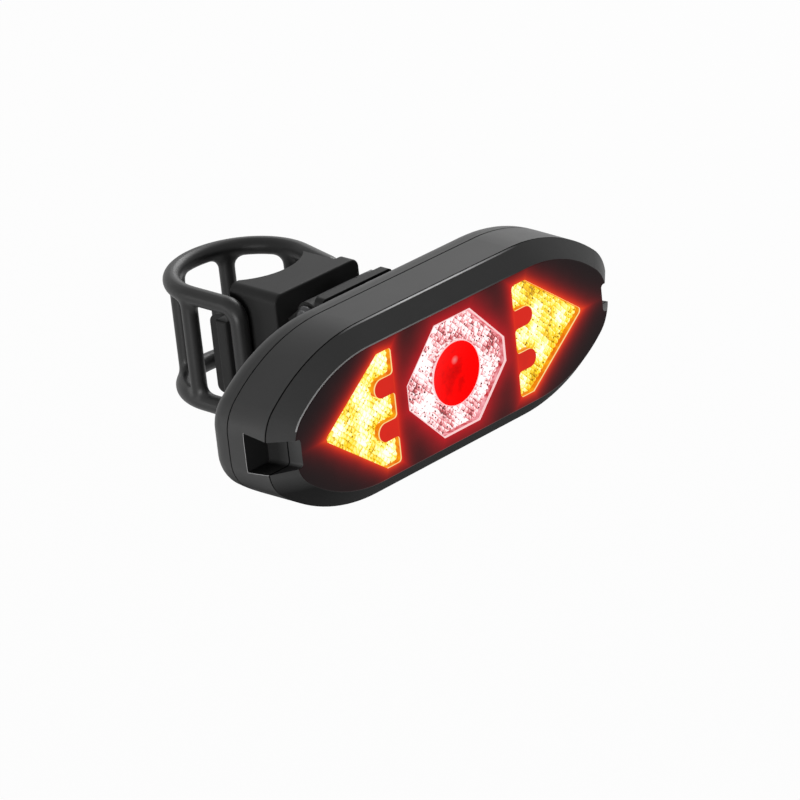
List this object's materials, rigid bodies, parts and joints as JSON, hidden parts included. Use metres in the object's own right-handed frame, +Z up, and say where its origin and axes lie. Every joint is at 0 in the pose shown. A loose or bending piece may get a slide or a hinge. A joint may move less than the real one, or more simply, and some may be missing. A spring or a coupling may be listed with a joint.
{
  "type": "bicycle turn signal light",
  "caption": "Long oval bicycle tail lamp with arrow windows and a hexagon brake light, on a tilting slide bracket held to a seat post by a rubber ladder strap.",
  "frame": {"origin": "on the seat post's axis at the middle of the clamp's height", "axes": "+Z up along the post, -Y out of the lamp's face, +X to the right of someone who looks at the face"},
  "size_m": [0.1078, 0.0814, 0.0392],
  "materials": {
    "cover_plastic": "smoked gloss black",
    "housing_plastic": "satin charcoal, fine grain",
    "bracket_plastic": "satin black, fine grain",
    "rubber": "soft black rubber",
    "seal_rubber": "black silicone seal",
    "amber_lens": "amber prismatic lens",
    "clear_lens": "clear prismatic lens",
    "red_lens": "red lens",
    "tray_plastic": "white reflector",
    "board": "green solder mask",
    "amber_led": "amber diode",
    "white_led": "white diode",
    "red_led": "red diode",
    "chip": "black package",
    "cell": "foil pouch",
    "tape": "white foam tape",
    "lead": "insulated wire",
    "steel": "zinc plated",
    "black_steel": "black oxide",
    "socket_steel": "stainless shell"
  },
  "bodies": {
    "bracket": {"saddle_block": "bracket_plastic", "saddle_pad": "rubber", "ladder_strap": "rubber", "hinge_bolt": "black_steel", "hinge_nut": "black_steel"},
    "cradle": {"cradle": "bracket_plastic"},
    "lamp": {"lens_cover": "cover_plastic", "cover_gasket": "seal_rubber", "middle_housing": "housing_plastic", "housing_gasket": "seal_rubber", "rear_shell": "housing_plastic", "housing_screws": "steel", "arrow_lens_left": "amber_lens", "arrow_lens_right": "amber_lens", "hexagon_lens": "clear_lens", "disc_lens": "red_lens", "reflector_tray": "tray_plastic", "led_board": "board", "arrow_leds": "amber_led", "ring_leds": "white_led", "center_led": "red_led", "control_chips": "chip", "battery": "cell", "battery_tape": "tape", "battery_leads": "lead", "buzzer": "chip", "charging_socket": "socket_steel", "button_switch": "chip", "lamp_shoe": "bracket_plastic", "shoe_screws": "steel"},
    "power_button": {"power_button": "rubber", "switch_plunger": "chip"},
    "socket_flap": {"socket_flap": "rubber"}
  },
  "joints": [
    {"name": "tilt", "type": "hinge", "parent": "bracket", "child": "cradle", "pos_m": [0, -0.03, 0.012], "axis": [-1, 0, 0], "range_deg": [-10, 20]},
    {"name": "lift", "type": "slide", "parent": "cradle", "child": "lamp", "axis": [0, 0, 1], "range_m": [0, 0.026]},
    {"name": "power_press", "type": "slide", "parent": "lamp", "child": "power_button", "axis": [0, -1, 0], "range_m": [0, 0.0006], "stiffness_N_per_m": 1500, "springref_m": -0.0005},
    {"name": "flap_open", "type": "hinge", "parent": "lamp", "child": "socket_flap", "pos_m": [0.0076, -0.05267, -0.0167], "axis": [0, 1, 0], "range_deg": [0, 100]}
  ]
}
